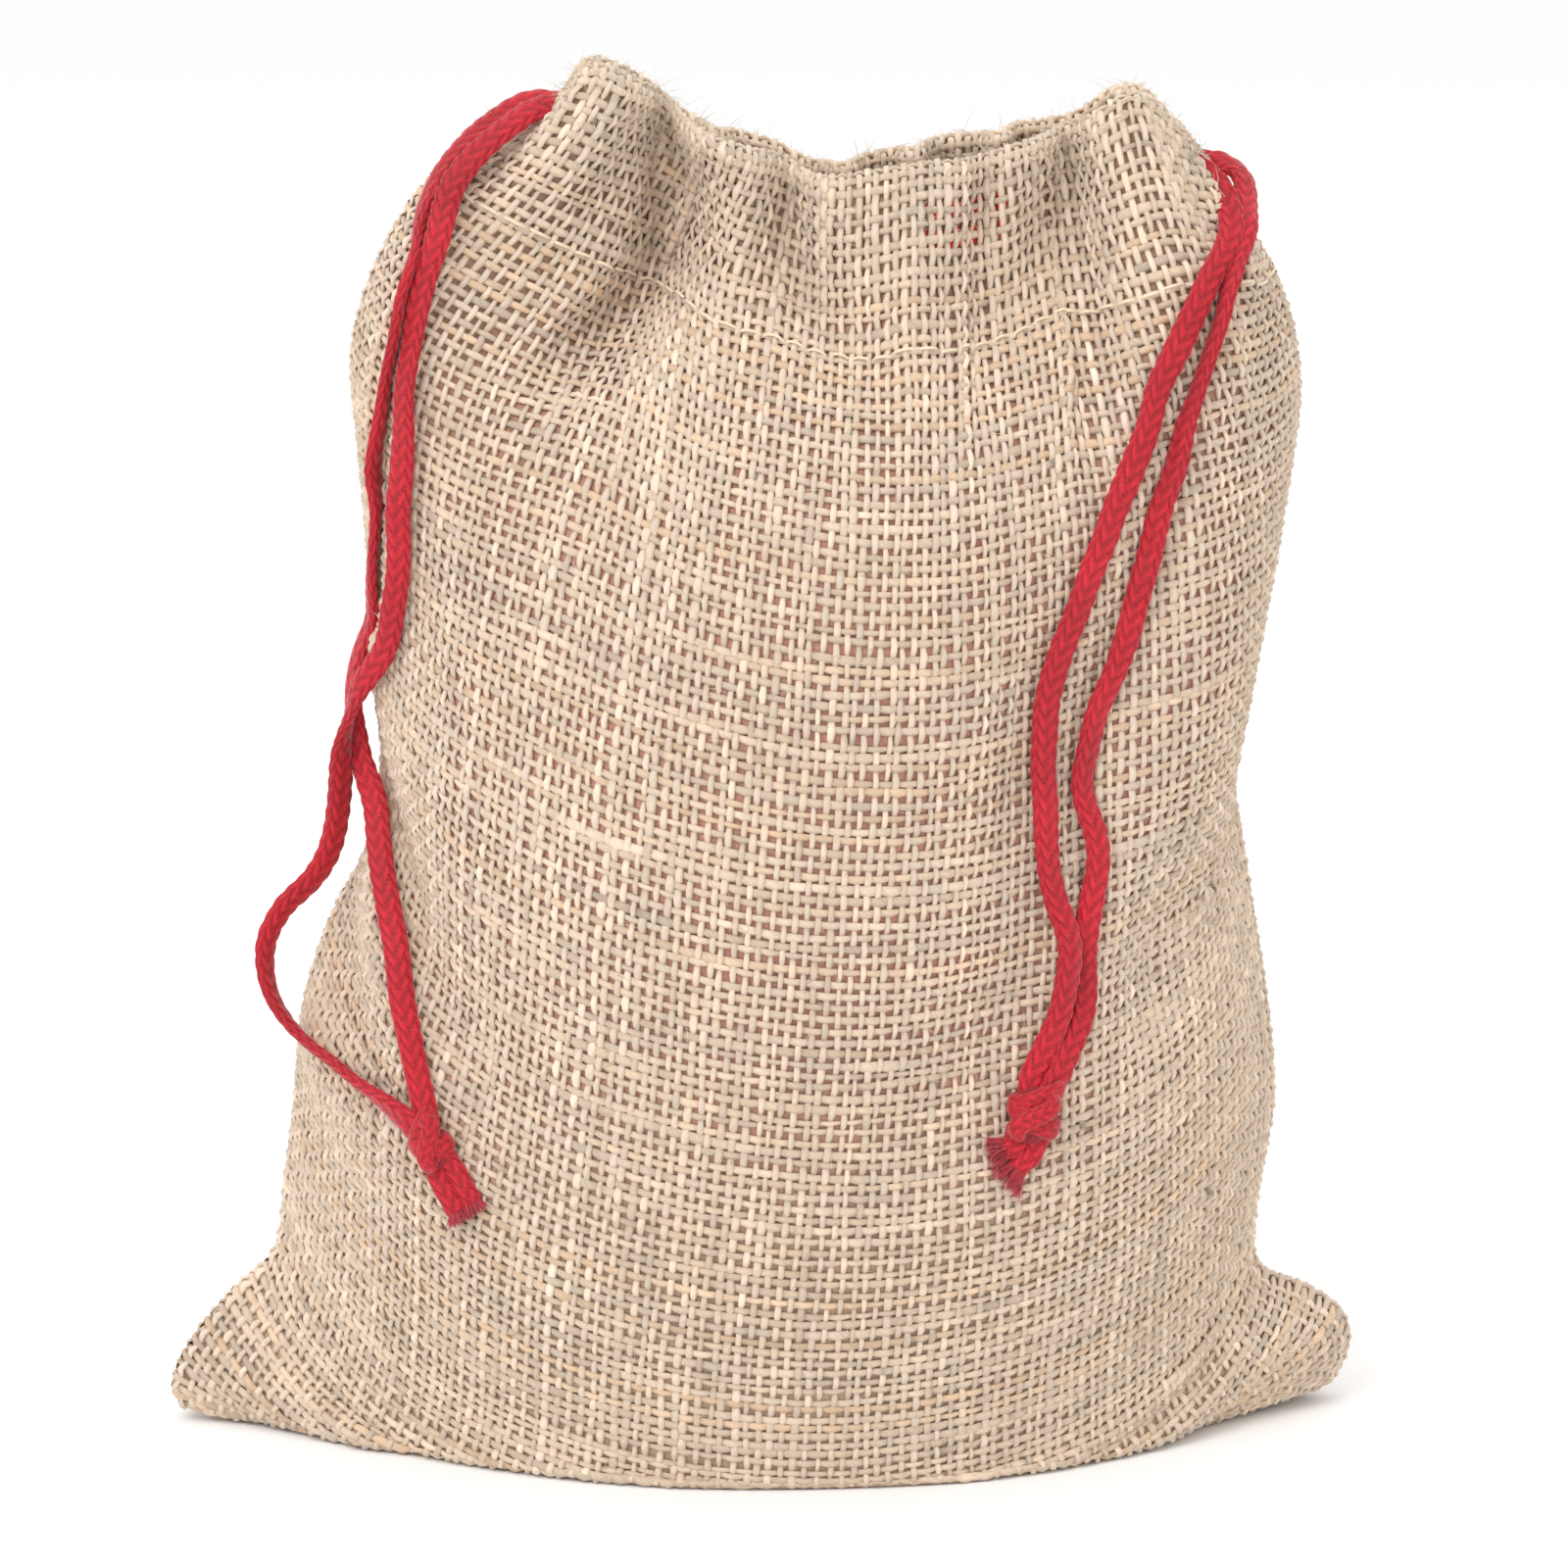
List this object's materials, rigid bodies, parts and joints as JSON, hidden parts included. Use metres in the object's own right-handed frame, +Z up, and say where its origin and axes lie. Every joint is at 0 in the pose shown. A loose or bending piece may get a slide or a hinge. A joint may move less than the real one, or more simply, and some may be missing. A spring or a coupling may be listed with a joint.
{
  "type": "drawstring sack",
  "caption": "Upright drawstring sack of coarse plain-woven cloth, with a gathered casing round its mouth and a knotted draw cord out of each side.",
  "frame": {"origin": "centre of the base, on the surface the sack stands on", "axes": "+X to the sack's right, +Y from front to back, +Z up"},
  "size_m": [0.172, 0.072, 0.1973],
  "materials": {
    "hessian": "coarse natural jute plain weave, matt",
    "hem": "coarse natural jute plain weave, doubled and gathered",
    "seam": "turned-in jute edges, matt",
    "thread": "spun sewing thread, matt",
    "cord": "flat braided red cord, slight sheen"
  },
  "bodies": {
    "bag": {"front_panel": "hessian", "back_panel": "hessian", "front_left_corner": "hem", "front_right_corner": "hem", "back_left_corner": "hem", "back_right_corner": "hem", "left_side_seam": "seam", "right_side_seam": "seam", "bottom_seam": "seam", "left_seam_stitching": "thread", "right_seam_stitching": "thread", "bottom_seam_stitching": "thread", "left_cord_turn": "cord", "right_cord_turn": "cord"},
    "front_lip": {"front_casing": "hem", "front_hem_stitching": "thread", "left_cord_front_run": "cord", "right_cord_front_run": "cord"},
    "back_lip": {"back_casing": "hem", "back_hem_stitching": "thread", "left_cord_back_run": "cord", "right_cord_back_run": "cord"},
    "left_cord": {"left_cord_front_shoulder": "cord", "left_cord_back_shoulder": "cord"},
    "left_tail": {"left_cord_front_strand": "cord", "left_cord_back_strand": "cord", "left_cord_knot": "cord", "left_cord_front_end": "cord", "left_cord_back_end": "cord"},
    "right_cord": {"right_cord_front_shoulder": "cord", "right_cord_back_shoulder": "cord"},
    "right_tail": {"right_cord_front_strand": "cord", "right_cord_back_strand": "cord", "right_cord_knot": "cord", "right_cord_front_end": "cord", "right_cord_back_end": "cord"}
  },
  "joints": [
    {"name": "front_lip_open", "type": "hinge", "parent": "bag", "child": "front_lip", "pos_m": [0.018, -0.022, 0.162], "axis": [1, 0, 0], "range_deg": [0, 30]},
    {"name": "back_lip_open", "type": "hinge", "parent": "bag", "child": "back_lip", "pos_m": [0.018, 0.022, 0.162], "axis": [-1, 0, 0], "range_deg": [0, 30]},
    {"name": "left_cord_pull", "type": "slide", "parent": "bag", "child": "left_cord", "axis": [-0.8872, 0, 0.4614], "range_m": [0, 0.01]},
    {"name": "left_tail_swing", "type": "hinge", "parent": "left_cord", "child": "left_tail", "pos_m": [-0.0494, -0.0156, 0.166], "axis": [-0.867, 0.4983, 0], "range_deg": [0, 60]},
    {"name": "right_cord_pull", "type": "slide", "parent": "bag", "child": "right_cord", "axis": [0.964, 0, -0.2659], "range_m": [0, 0.01]},
    {"name": "right_tail_swing", "type": "hinge", "parent": "right_cord", "child": "right_tail", "pos_m": [0.0631, -0.0163, 0.166], "axis": [-0.9684, -0.2496, 0], "range_deg": [0, 60]}
  ],
  "couplings": [
    {"joint": "back_lip_open", "follows": "front_lip_open", "ratio": 1}
  ]
}
